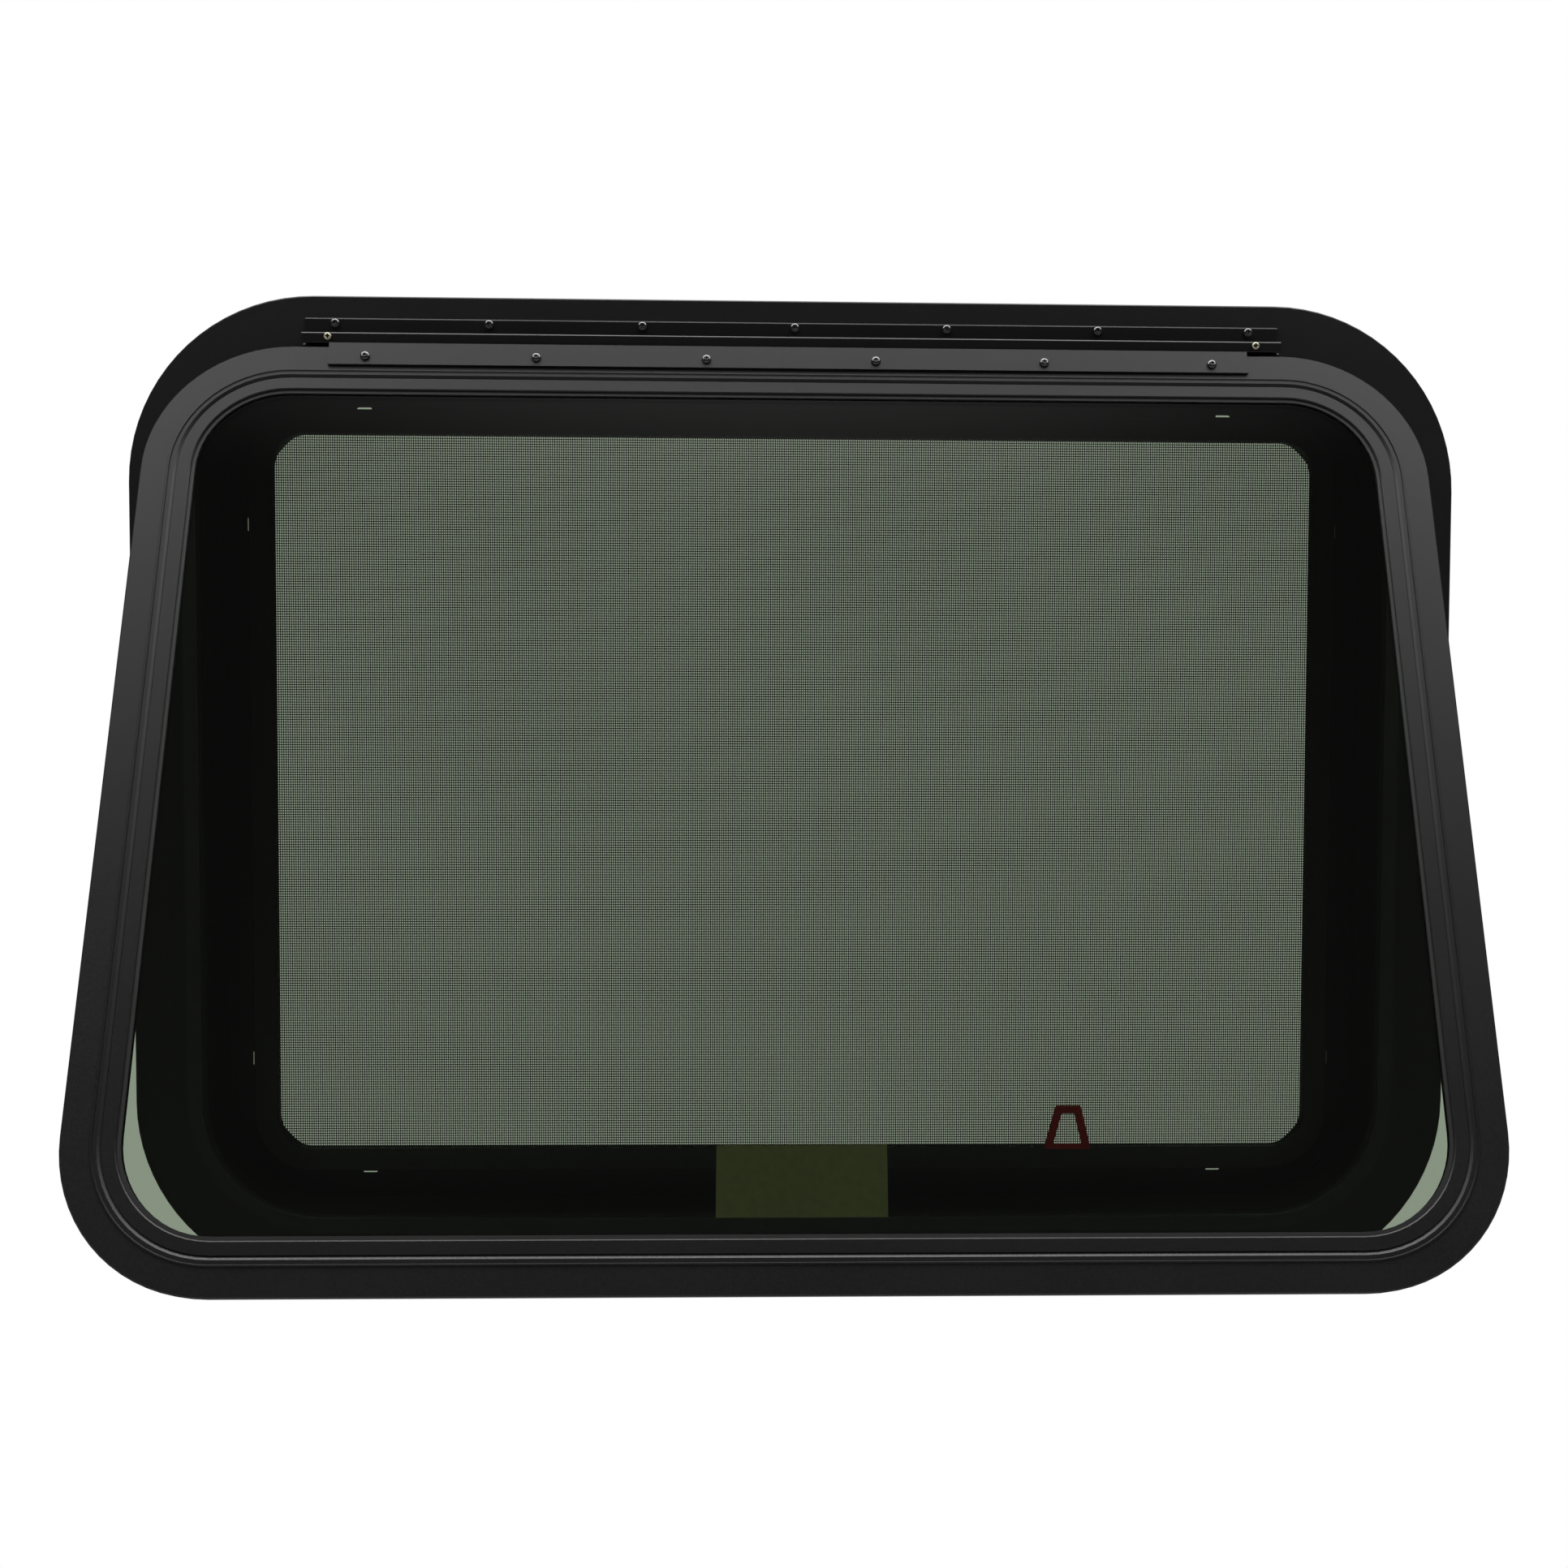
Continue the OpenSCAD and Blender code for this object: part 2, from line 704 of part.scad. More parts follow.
module outer_gasket() {
    color(rubber)
        in_sash()
            sash_ring()
                translate([glass_inset, glass_face])
                    square([inner_band_end + gasket_w - glass_inset, gasket_t]);
}

module inner_gasket() {
    color(rubber)
        in_sash()
            sash_ring()
                translate([inner_band_start + sash_wall + bead_strip_w, glass_back - inner_gasket_t])
                    square([inner_gasket_w, inner_gasket_t]);
}

module inner_glazing_bead() {
    color(black_coat)
        in_sash()
            sash_ring()
                translate([inner_band_start + sash_wall, -sash_t])
                    square([bead_strip_w, sash_t + glass_back]);
}

module glass_label() {
    glass_edge = sash_top - sash_h + inner_band_end + gasket_w;
    color([0.62, 0.66, 0.60])
        in_sash()
            translate([label_x, sash_face_y, glass_edge + label_rise + label_h / 2])
                standing_plate(label_w, label_h, label_corner_r, glass_back, label_t);
}

main_frame();
frame_joint_plate();
throat_seal();
clamp_ring();
clamp_ring_screws();
screen_frame();
screen_mesh();
screen_spline();
screen_pull_loop();
hinge_upper_rail();
hinge_upper_screws();
hinge_end_screws();
sash_frame();
glass_pane();
outer_gasket();
inner_gasket();
inner_glazing_bead();
glass_label();
hinge_lower_rail();
hinge_lower_screws();
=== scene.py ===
import math

import bmesh
import bpy
import numpy as np
from mathutils import Matrix, Vector


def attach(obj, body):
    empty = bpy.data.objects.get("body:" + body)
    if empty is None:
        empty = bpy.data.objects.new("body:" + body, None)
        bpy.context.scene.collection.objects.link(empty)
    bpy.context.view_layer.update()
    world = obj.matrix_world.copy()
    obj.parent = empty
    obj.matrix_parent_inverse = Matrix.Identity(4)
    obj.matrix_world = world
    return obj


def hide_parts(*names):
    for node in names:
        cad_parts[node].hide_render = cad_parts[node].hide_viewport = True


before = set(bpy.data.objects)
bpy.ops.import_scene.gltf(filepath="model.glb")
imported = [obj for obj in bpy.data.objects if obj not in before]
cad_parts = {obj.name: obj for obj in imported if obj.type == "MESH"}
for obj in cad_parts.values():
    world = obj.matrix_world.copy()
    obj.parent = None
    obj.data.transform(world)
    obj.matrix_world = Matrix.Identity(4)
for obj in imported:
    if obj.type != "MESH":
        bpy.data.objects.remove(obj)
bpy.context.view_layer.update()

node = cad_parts

# The main frame is one aluminium extrusion bent into a ring: a flange on the wall, a rib behind
# it and a deep throat. It is powder coated satin black, which leaves a faint orange peel.

def coat_tree(name):
    """A material with one Principled shader, its node tree, and the Object coordinates."""
    mat = bpy.data.materials.new(name)
    mat.use_nodes = True
    tree = mat.node_tree
    tree.nodes.clear()
    out = tree.nodes.new("ShaderNodeOutputMaterial")
    shader = tree.nodes.new("ShaderNodeBsdfPrincipled")
    tree.links.new(shader.outputs["BSDF"], out.inputs["Surface"])
    coords = tree.nodes.new("ShaderNodeTexCoord")
    return mat, tree, shader, coords.outputs["Object"]


def mottle(tree, where, size, detail=3.0):
    """Noise of 0 to 1 whose patches are about size metres across."""
    noise = tree.nodes.new("ShaderNodeTexNoise")
    noise.inputs["Scale"].default_value = 1.0 / size
    noise.inputs["Detail"].default_value = detail
    tree.links.new(where, noise.inputs["Vector"])
    return noise.outputs["Fac"]


def spread_over(tree, value, low, high):
    """Carries the middle of a noise, 0.3 to 0.7, over to the range from low to high."""
    span = tree.nodes.new("ShaderNodeMapRange")
    span.inputs["From Min"].default_value = 0.3
    span.inputs["From Max"].default_value = 0.7
    span.inputs["To Min"].default_value = low
    span.inputs["To Max"].default_value = high
    tree.links.new(value, span.inputs["Value"])
    return span.outputs["Result"]


def two_tone(tree, value, dark, light):
    """A colour between dark and light, by the middle of a noise, 0.3 to 0.7."""
    ramp = tree.nodes.new("ShaderNodeValToRGB")
    ramp.color_ramp.elements[0].position = 0.3
    ramp.color_ramp.elements[1].position = 0.7
    ramp.color_ramp.elements[0].color = (*dark, 1.0)
    ramp.color_ramp.elements[1].color = (*light, 1.0)
    tree.links.new(value, ramp.inputs["Fac"])
    return ramp.outputs["Color"]


def grain(tree, shader, height, depth, strength):
    """Bump of the given depth in metres on a shader's normal."""
    bump = tree.nodes.new("ShaderNodeBump")
    bump.inputs["Strength"].default_value = strength
    bump.inputs["Distance"].default_value = depth
    tree.links.new(height, bump.inputs["Height"])
    tree.links.new(bump.outputs["Normal"], shader.inputs["Normal"])


def satin_black(name, dark, light, rough_low, rough_high, peel, gloss=0.35):
    """Powder coat: two close blacks in soft patches, and orange peel about 1.2 mm across. Gloss
    is the strength of its mirror reflection, where 0.5 is a plain lacquer."""
    mat, tree, shader, where = coat_tree(name)
    soft = mottle(tree, where, 0.06)
    tree.links.new(two_tone(tree, soft, dark, light), shader.inputs["Base Color"])
    fine = mottle(tree, where, 0.0012, 2.0)
    tree.links.new(spread_over(tree, fine, rough_low, rough_high), shader.inputs["Roughness"])
    shader.inputs["Specular IOR Level"].default_value = gloss
    grain(tree, shader, fine, 0.00002, peel)
    return mat


def wear(mat, *names):
    """Gives CAD nodes a material in every slot."""
    for name in names:
        for slot in node[name].material_slots:
            slot.material = mat


coat_dark, coat_light = (0.0048, 0.0048, 0.0047), (0.0068, 0.0068, 0.0066)
black_coat = satin_black("black_coat", coat_dark, coat_light, 0.38, 0.46, 0.35)
wear(black_coat, "main_frame", "frame_joint_plate")


# The throat seal is a soft bulb of extruded black rubber. It is glued to the flange round the
# throat, where the closed sash covers it.

def dull_rubber(name, dark, light, rough):
    """Extruded rubber: matt, with a fine dry grain about 0.5 mm across."""
    mat, tree, shader, where = coat_tree(name)
    bloom = mottle(tree, where, 0.03)
    tree.links.new(two_tone(tree, bloom, dark, light), shader.inputs["Base Color"])
    shader.inputs["Roughness"].default_value = rough
    grain(tree, shader, mottle(tree, where, 0.0005, 2.0), 0.00002, 0.5)
    return mat


seal_rubber = dull_rubber("seal_rubber", (0.007, 0.007, 0.007), (0.011, 0.011, 0.011), 0.62)
wear(seal_rubber, "throat_seal")


# The clamp ring is a flat aluminium ring that pulls the frame against the wall from indoors.
# Twenty black pan head screws with cross recesses go through it into the frame's back lip.

wear(black_coat, "clamp_ring")


def surface(name, points, faces, mat, body, smooth=True):
    """A piece at the origin from an array of points and one of four-cornered faces, turned
    outwards: the faces are reversed where the volume that they shut in comes out negative.
    Points that fall together, as at a pole, become one."""
    a, b, c, d = (points[faces[:, n]] for n in range(4))
    shut_in = (a * np.cross(b, c)).sum() + (a * np.cross(c, d)).sum()
    if shut_in < 0:
        faces = faces[:, ::-1]
    mesh = bpy.data.meshes.new(name)
    mesh.vertices.add(len(points))
    mesh.vertices.foreach_set("co", np.ascontiguousarray(points, dtype=np.float32).ravel())
    mesh.loops.add(faces.size)
    mesh.loops.foreach_set("vertex_index", np.ascontiguousarray(faces, dtype=np.int32).ravel())
    mesh.polygons.add(len(faces))
    mesh.polygons.foreach_set("loop_start", np.arange(0, faces.size, 4, dtype=np.int32))
    mesh.polygons.foreach_set("use_smooth", np.full(len(faces), smooth))
    mesh.materials.append(mat)
    mesh.update(calc_edges=True)
    shell = bmesh.new()
    shell.from_mesh(mesh)
    bmesh.ops.remove_doubles(shell, verts=shell.verts, dist=0.0000001)
    shell.to_mesh(mesh)
    shell.free()
    mesh.validate()
    piece = bpy.data.objects.new(name, mesh)
    bpy.context.scene.collection.objects.link(piece)
    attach(piece, body)
    return piece


def lattice(rows, columns, joined=False):
    """Four-cornered faces on a grid of points, row by row. Each row shuts on itself, and where
    joined is true, the last row also shuts on the first."""
    i, j = np.meshgrid(np.arange(rows if joined else rows - 1), np.arange(columns), indexing="ij")
    here, after = i * columns, (i + 1) % rows * columns
    k = (j + 1) % columns
    return np.stack([here + j, after + j, after + k, here + k], axis=-1).reshape(-1, 4)


def cross_screws(places, rise, head_r, shank_r, shank_len, cross_r, cross_w, cross_depth):
    """Points and faces of screws whose heads stand towards -Y on the places given.

    The profile is rise, the head's height at even steps from its middle to its rim, then the
    underside and the shank. It is turned round the screw's own axis in 48 steps. On the head,
    the height falls by the recess depth where the nearer of the two sideways distances is under
    half the blade's width and the farther one is under its reach, with a short slope."""
    out = np.linspace(0.0, 1.0, len(rise)) * head_r
    r = np.concatenate([out, [shank_r, shank_r, shank_r * 0.6, 0.0]])
    h = np.concatenate([rise, [0.0, -shank_len * 0.85, -shank_len, -shank_len]])
    turns = 48
    angle = np.linspace(0.0, 2.0 * np.pi, turns, endpoint=False)
    u = r[:, None] * np.cos(angle)
    v = r[:, None] * np.sin(angle)
    near = np.minimum(np.abs(u), np.abs(v))
    far = np.maximum(np.abs(u), np.abs(v))
    blade = np.clip((cross_w / 2 - near) / (cross_w * 0.2), 0.0, 1.0)
    blade = blade * np.clip((cross_r - far) / (cross_r * 0.3), 0.0, 1.0)
    on_head = (np.arange(len(r)) < len(rise))[:, None]
    h = h[:, None] - cross_depth * blade * on_head
    one = np.stack([u, -h, v], axis=-1).reshape(-1, 3)
    places = np.asarray(places, dtype=float)
    points = (places[:, None, :] + one[None]).reshape(-1, 3)
    first = np.arange(len(places)) * len(one)
    faces = (first[:, None, None] + lattice(len(r), turns)[None]).reshape(-1, 4)
    return points, faces


def evenly(count, length, inset):
    """Places along a length, the first and the last at the inset from its ends."""
    return np.linspace(inset - length / 2, length / 2 - inset, count)


screw_black = satin_black(
    "screw_black", (0.009, 0.009, 0.009), (0.015, 0.015, 0.015), 0.12, 0.18, 0.08, gloss=1.0)

# The ring's screws are laid out with their heads towards -Y, then turned half round to face in.
clamp_inset, clamp_seat, first_in = 0.0375, -0.0456, 0.0335
line_x, line_z = 0.406 - clamp_inset, 0.303 - clamp_inset
across = evenly(6, 0.586, first_in)
upright = evenly(4, 0.380, first_in)
clamp_places = np.concatenate([
    np.stack([across, 0 * across + clamp_seat, 0 * across + line_z], axis=-1),
    np.stack([across, 0 * across + clamp_seat, 0 * across - line_z], axis=-1),
    np.stack([0 * upright + line_x, 0 * upright + clamp_seat, upright], axis=-1),
    np.stack([0 * upright - line_x, 0 * upright + clamp_seat, upright], axis=-1),
])
half_turn = (-1.0, -1.0, 1.0)
clamp_points, clamp_faces = cross_screws(
    clamp_places, rise=0.0018 * (1.0 - np.linspace(0.0, 1.0, 14) ** 5), head_r=0.003,
    shank_r=0.0015, shank_len=0.0055, cross_r=0.0019, cross_w=0.0009, cross_depth=0.0011)
clamp_screws = surface(
    "clamp_screws", clamp_points * half_turn, clamp_faces, screw_black, "frame")
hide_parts("clamp_ring_screws")


# The fly screen is a panel of its own: an aluminium frame with a woven screen of coated glass
# fibre, 18 by 16 wires to the inch, that a rubber cord holds in a groove round the back.

screen_coat = satin_black(
    "screen_coat", (0.0125, 0.0125, 0.0105), (0.0155, 0.0155, 0.0130), 0.40, 0.48, 0.30)
wear(screen_coat, "screen_frame")
wear(seal_rubber, "screen_spline")

weave_half = (0.3303, 0.2273)
weave_corner = 0.0219
weave_y = 0.0414


def wire_lengths(at, across_half, along_half, corner):
    """Half the length of each wire: the panel's half size, less what the round corner takes off,
    the corner's radius minus the height of its circle above the wire's place."""
    past = np.clip(np.abs(at) - (across_half - corner), 0.0, corner)
    return along_half - corner + np.sqrt(corner ** 2 - past ** 2)


def wires(at, half, wide, thick, along_x):
    """Straight six-sided wires with shut ends in the weave's plane, as points and faces.

    A corner of a wire lies at one of six even angles, with half the width sideways and half the
    thickness across the plane, at the minus or the plus end of its length."""
    angle = np.arange(6) * np.pi / 3
    side = np.cos(angle) * wide / 2
    out = np.sin(angle) * thick / 2
    end = np.array([-1.0, 1.0])
    along = half[:, None, None] * end[None, :, None] + 0 * side
    sideways = at[:, None, None] + side[None, None, :] + 0 * along
    level = weave_y + out[None, None, :] + 0 * along
    order = [along, level, sideways] if along_x else [sideways, level, along]
    points = np.stack(order, axis=-1).reshape(-1, 3)
    n = np.arange(6)
    walls = np.stack([n, (n + 1) % 6, (n + 1) % 6 + 6, n + 6], axis=-1)
    caps = np.array([[3, 2, 1, 0], [5, 4, 3, 0], [6, 7, 8, 9], [6, 9, 10, 11]])
    one = np.concatenate([walls, caps])
    if not along_x:
        one = one[:, ::-1]
    faces = (np.arange(len(at))[:, None, None] * 12 + one[None]).reshape(-1, 4)
    return points, faces


def coated_fibre(name):
    """Dull dark coating on glass fibre, with lighter wires here and there."""
    mat, tree, shader, where = coat_tree(name)
    patch = mottle(tree, where, 0.004)
    shade = two_tone(tree, patch, (0.022, 0.020, 0.016), (0.036, 0.032, 0.026))
    tree.links.new(shade, shader.inputs["Base Color"])
    shader.inputs["Roughness"].default_value = 0.55
    return mat


inch = 0.0254
upright_count, level_count = 468, 286
upright_at = (np.arange(upright_count) - (upright_count - 1) / 2) * (inch / 18)
level_at = (np.arange(level_count) - (level_count - 1) / 2) * (inch / 16)
upright_half = wire_lengths(upright_at, weave_half[0], weave_half[1], weave_corner)
level_half = wire_lengths(level_at, weave_half[1], weave_half[0], weave_corner)
up_points, up_faces = wires(upright_at, upright_half, wide=0.00055, thick=0.0004, along_x=False)
flat_points, flat_faces = wires(level_at, level_half, wide=0.00054, thick=0.00038, along_x=True)
weave_points = np.concatenate([up_points, flat_points])
weave_faces = np.concatenate([up_faces, flat_faces + len(up_points)])
weave = surface(
    "woven_screen", weave_points, weave_faces, coated_fibre("coated_fibre"), "frame",
    smooth=False)
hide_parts("screen_mesh")


# The pull loop is a small moulded tab of dark red plastic on the foot of the screen panel. It is
# wider at its foot than at its top, and its corners and edges are rounded.

def eased_outline(corners, per_side, reach):
    """A closed outline with even steps along each side, whose corners are eased: each point
    becomes the mean of itself and its neighbours, as far as reach steps to both sides."""
    corners = np.asarray(corners, dtype=float)[:, None, :]
    step = (np.arange(per_side) / per_side)[None, :, None]
    line = (corners * (1 - step) + np.roll(corners, -1, axis=0) * step).reshape(-1, 2)
    shifts = np.arange(-reach, reach + 1)
    index = (np.arange(len(line))[:, None] + shifts[None, :]) % len(line)
    return line[index].mean(axis=1)


def moulded_band(outer, inner, level, thick, name, mat, body):
    """A band between two outlines with a soft-edged section.

    The first parameter runs along the outlines. The second turns round the section, which goes
    from the middle of the two outlines by half their distance times the root of the cosine, and
    out of the plane by half the thickness times the root of the sine, signs kept."""
    middle = (outer + inner) / 2
    reach = (outer - inner) / 2
    turns = 16
    angle = np.linspace(0.0, 2.0 * np.pi, turns, endpoint=False) + np.pi / turns
    side = np.sign(np.cos(angle)) * np.abs(np.cos(angle)) ** 0.5
    out = np.sign(np.sin(angle)) * np.abs(np.sin(angle)) ** 0.5
    flat = middle[:, None, :] + reach[:, None, :] * side[None, :, None]
    deep = level + out[None, :] * thick / 2 + 0 * flat[..., 0]
    points = np.stack([flat[..., 0], deep, flat[..., 1]], axis=-1).reshape(-1, 3)
    return surface(name, points, lattice(len(outer), turns, joined=True), mat, body)


def moulded_red(name):
    """Moulded plastic: deep red in soft patches, half gloss, with a faint spark-eroded grain."""
    mat, tree, shader, where = coat_tree(name)
    patch = mottle(tree, where, 0.006)
    red = two_tone(tree, patch, (0.31, 0.008, 0.007), (0.41, 0.012, 0.010))
    tree.links.new(red, shader.inputs["Base Color"])
    shader.inputs["Roughness"].default_value = 0.55
    shader.inputs["Specular IOR Level"].default_value = 0.25
    grain(tree, shader, mottle(tree, where, 0.0006, 2.0), 0.00002, 0.12)
    return mat


# The corners in millimetres, across and up from the middle of the loop's foot.
loop_foot = np.array([0.1775, -0.226])
outer_mm = np.array([[-16.8, -2.2], [14.0, -2.2], [7.2, 26.2], [-9.1, 26.2]])
inner_mm = np.array([[-10.4, 1.6], [7.8, 1.6], [3.0, 21.0], [-5.2, 21.0]])
loop_outer = eased_outline(loop_foot + 0.001 * outer_mm, per_side=48, reach=3)
loop_inner = eased_outline(loop_foot + 0.001 * inner_mm, per_side=48, reach=2)
pull_loop = moulded_band(
    loop_outer, loop_inner, 0.034, 0.002, "pull_loop", moulded_red("moulded_red"), "frame")
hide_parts("screen_pull_loop")


# The hinge has no pin. The upper rail is an extrusion with a drip cover and a round socket, held
# to the flange by seven black screws, and two zinc plated screws at its ends stop the sash.

anodised_black = satin_black(
    "anodised_black", (0.0045, 0.0045, 0.0044), (0.0062, 0.0062, 0.0060), 0.28, 0.34, 0.12)
wear(anodised_black, "hinge_upper_rail")


def pan_head(height, dome):
    """Heights of a pan head: the full height, less the dome's height by the fourth power of the
    way out from the middle, and down to the seat at the rim."""
    rise = height - dome * np.linspace(0.0, 1.0, 24) ** 4
    rise[-1] = 0.0
    return rise


hinge_x, hinge_y, hinge_z = -0.0018, -0.00948, 0.2738
rail_at = evenly(7, 0.593, 0.018) + hinge_x
rail_places = np.stack([rail_at, 0 * rail_at - 0.0036, 0 * rail_at + 0.2861], axis=-1)
hinge_screw = dict(
    rise=pan_head(0.0019, 0.0011), head_r=0.0029, shank_r=0.0014,
    cross_r=0.0012, cross_w=0.0007, cross_depth=0.0013)
rail_points, rail_faces = cross_screws(rail_places, shank_len=0.0034, **hinge_screw)
rail_screws = surface(
    "upper_rail_screws", rail_points, rail_faces, screw_black, "frame")
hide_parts("hinge_upper_screws")


def plated(name, lit_y, dark_y):
    """Zinc plate: warm pale metal, a little uneven in tone and gloss, which goes over to a painted
    shade in the cross recess and at the foot of the head's rim, between two depths on the Y axis."""
    mat, tree, shader, where = coat_tree(name)
    plate = two_tone(tree, mottle(tree, where, 0.0009), (0.36, 0.345, 0.25), (0.48, 0.46, 0.33))
    parts = tree.nodes.new("ShaderNodeSeparateXYZ")
    tree.links.new(where, parts.inputs["Vector"])
    sunk = tree.nodes.new("ShaderNodeMapRange")
    sunk.inputs["From Min"].default_value = lit_y
    sunk.inputs["From Max"].default_value = dark_y
    tree.links.new(parts.outputs["Y"], sunk.inputs["Value"])
    # Painted shade: the plate's colour goes over to near black past dark_y, in the cross recess and
    # at the foot of the head's rim.
    recess_shade = tree.nodes.new("ShaderNodeMixRGB")
    recess_shade.inputs["Color2"].default_value = (0.010, 0.010, 0.006, 1.0)
    tree.links.new(sunk.outputs["Result"], recess_shade.inputs["Fac"])
    tree.links.new(plate, recess_shade.inputs["Color1"])
    tree.links.new(recess_shade.outputs["Color"], shader.inputs["Base Color"])
    shader.inputs["Metallic"].default_value = 0.4
    rough = spread_over(tree, mottle(tree, where, 0.0005), 0.3, 0.5)
    tree.links.new(rough, shader.inputs["Roughness"])
    return mat


stop_reach, stop_seat, stop_z = 0.2807, -0.01276, hinge_z + 0.0022
stop_places = [[hinge_x - stop_reach, stop_seat, stop_z], [hinge_x + stop_reach, stop_seat, stop_z]]
stop_points, stop_faces = cross_screws(
    stop_places, rise=pan_head(0.0019, 0.0007), head_r=0.0023, shank_r=0.0014,
    shank_len=0.00956, cross_r=0.0015, cross_w=0.0011, cross_depth=0.0016)
# The painted shade of the recess begins at lit_y and is full from dark_y inwards.
zinc_plate = plated("zinc_plate", lit_y=-0.0139, dark_y=-0.0136)
stop_screws = surface(
    "end_stop_screws", stop_points, stop_faces, zinc_plate, "frame")
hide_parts("hinge_end_screws")


# The lower rail carries the round bead that hangs in the socket. Six black screws hold its strip
# to the face of the sash, and it has slid to the left with the sash, as far as the end screw.
# Its powder coat has a little more gloss than the frame's.

sash_coat = satin_black("sash_coat", coat_dark, coat_light, 0.38, 0.46, 0.35, gloss=0.41)
wear(sash_coat, "hinge_lower_rail")
swing, slide = math.radians(20.0), -0.0023


def hung(points):
    """Takes points from the closed sash to its place here: slid to the left, and turned about
    the hinge so that its foot comes out by the swing."""
    y, z = points[:, 1] - hinge_y, points[:, 2] - hinge_z
    return np.stack([
        points[:, 0] + hinge_x + slide,
        hinge_y + y * math.cos(swing) + z * math.sin(swing),
        hinge_z - y * math.sin(swing) + z * math.cos(swing),
    ], axis=-1)


sash_at = evenly(6, 0.5538, 0.022)
sash_places = np.stack([sash_at, 0 * sash_at - 0.0148, 0 * sash_at + 0.2607], axis=-1)
sash_points, sash_faces = cross_screws(sash_places, shank_len=0.0030, **hinge_screw)
sash_screws = surface(
    "lower_rail_screws", hung(sash_points), sash_faces, screw_black, "sash")
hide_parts("hinge_lower_screws")


# The sash is a hollow aluminium extrusion with a low rib and a groove, bent round and butted at
# the middle of its top rail. A snap-in bead holds the glass from inside, between two gaskets.

wear(sash_coat, "sash_frame", "inner_glazing_bead")
wear(seal_rubber, "outer_gasket", "inner_gasket")


def tinted_glass(name, tint, for_lamps):
    """Polished 4 mm glass. Light from a lamp passes as through a film of the same tint, because
    a ray tracer would otherwise lose it on its way to what is behind the pane."""
    mat, tree, shader, where = coat_tree(name)
    darker, lighter = (tuple(share * c for c in tint) for share in (0.985, 1.015))
    shade = two_tone(tree, mottle(tree, where, 0.15), darker, lighter)
    tree.links.new(shade, shader.inputs["Base Color"])
    shader.inputs["Transmission Weight"].default_value = 1.0
    shader.inputs["Roughness"].default_value = 0.0
    shader.inputs["IOR"].default_value = 1.5
    film = tree.nodes.new("ShaderNodeBsdfTransparent")
    film.inputs["Color"].default_value = (*for_lamps, 1.0)
    path = tree.nodes.new("ShaderNodeLightPath")
    both = tree.nodes.new("ShaderNodeMixShader")
    tree.links.new(path.outputs["Is Shadow Ray"], both.inputs["Fac"])
    tree.links.new(shader.outputs["BSDF"], both.inputs[1])
    tree.links.new(film.outputs["BSDF"], both.inputs[2])
    out = next(n for n in tree.nodes if n.type == "OUTPUT_MATERIAL")
    tree.links.new(both.outputs["Shader"], out.inputs["Surface"])
    return mat


green_grey = tinted_glass("tinted_glass", (0.258, 0.308, 0.233), for_lamps=(0.237, 0.283, 0.214))
wear(green_grey, "glass_pane")


# The label is a small bare film on the inner face of the glass, cream with a faint paper grain.
# Its front stands 0.06 mm behind the glass, because two faces in one plane flicker.

def bare_film(name):
    """Matt cream film, a little uneven in tone."""
    mat, tree, shader, where = coat_tree(name)
    cream = two_tone(tree, mottle(tree, where, 0.004), (0.50, 0.40, 0.25), (0.60, 0.48, 0.31))
    tree.links.new(cream, shader.inputs["Base Color"])
    shader.inputs["Roughness"].default_value = 0.5
    grain(tree, shader, mottle(tree, where, 0.0004, 2.0), 0.00001, 0.4)
    return mat


def film_plate(outline, front, back):
    """A thin plate with eased edges, as points and faces.

    The first parameter runs round the outline. The second goes from its middle over the front,
    round the edge and over the back to the middle, as a share of the way out, and the edge is
    drawn in by the plate's thickness where it meets the two faces."""
    middle = outline.mean(axis=0)
    share = np.array([0.0, 0.5, 0.994, 1.0, 1.0, 0.994, 0.5, 0.0])
    rise = np.array([0.0, 0.0, 0.0, 0.3, 0.7, 1.0, 1.0, 1.0])
    flat = middle + share[:, None, None] * (outline - middle)[None]
    deep = front + rise[:, None] * (back - front) + 0 * flat[..., 0]
    points = np.stack([flat[..., 0], deep, flat[..., 1]], axis=-1).reshape(-1, 3)
    return points, lattice(len(share), len(outline))


left, right, foot, top = -0.040, 0.050, -0.246, -0.2083
label_corners = [[left, foot], [right, foot], [right, top], [left, top]]
label_outline = eased_outline(label_corners, per_side=60, reach=0)
label_points, label_faces = film_plate(label_outline, front=-0.00614, back=-0.0059)
label = surface(
    "bare_label", hung(label_points), label_faces, bare_film("label_film"), "sash",
    smooth=False)
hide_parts("glass_label")


# The studio is a pale floor well below the hanging window, a room that is dim in front and bright
# overhead, a broad lamp above the window, and two weak lamps at its sides.

def seen_plainly(tree):
    """One where the camera sees a surface itself, or through glass with no bounce before, and
    zero in reflections and for the light that falls on other surfaces."""
    path = tree.nodes.new("ShaderNodeLightPath")
    either = tree.nodes.new("ShaderNodeMath")
    either.operation = "MAXIMUM"
    tree.links.new(path.outputs["Is Camera Ray"], either.inputs[0])
    tree.links.new(path.outputs["Is Transmission Ray"], either.inputs[1])
    bounces = tree.nodes.new("ShaderNodeMath")
    bounces.operation = "ADD"
    tree.links.new(path.outputs["Diffuse Depth"], bounces.inputs[0])
    tree.links.new(path.outputs["Glossy Depth"], bounces.inputs[1])
    none = tree.nodes.new("ShaderNodeMath")
    none.operation = "LESS_THAN"
    none.inputs[1].default_value = 0.5
    tree.links.new(bounces.outputs[0], none.inputs[0])
    both = tree.nodes.new("ShaderNodeMath")
    both.operation = "MULTIPLY"
    tree.links.new(either.outputs[0], both.inputs[0])
    tree.links.new(none.outputs[0], both.inputs[1])
    return both.outputs[0]


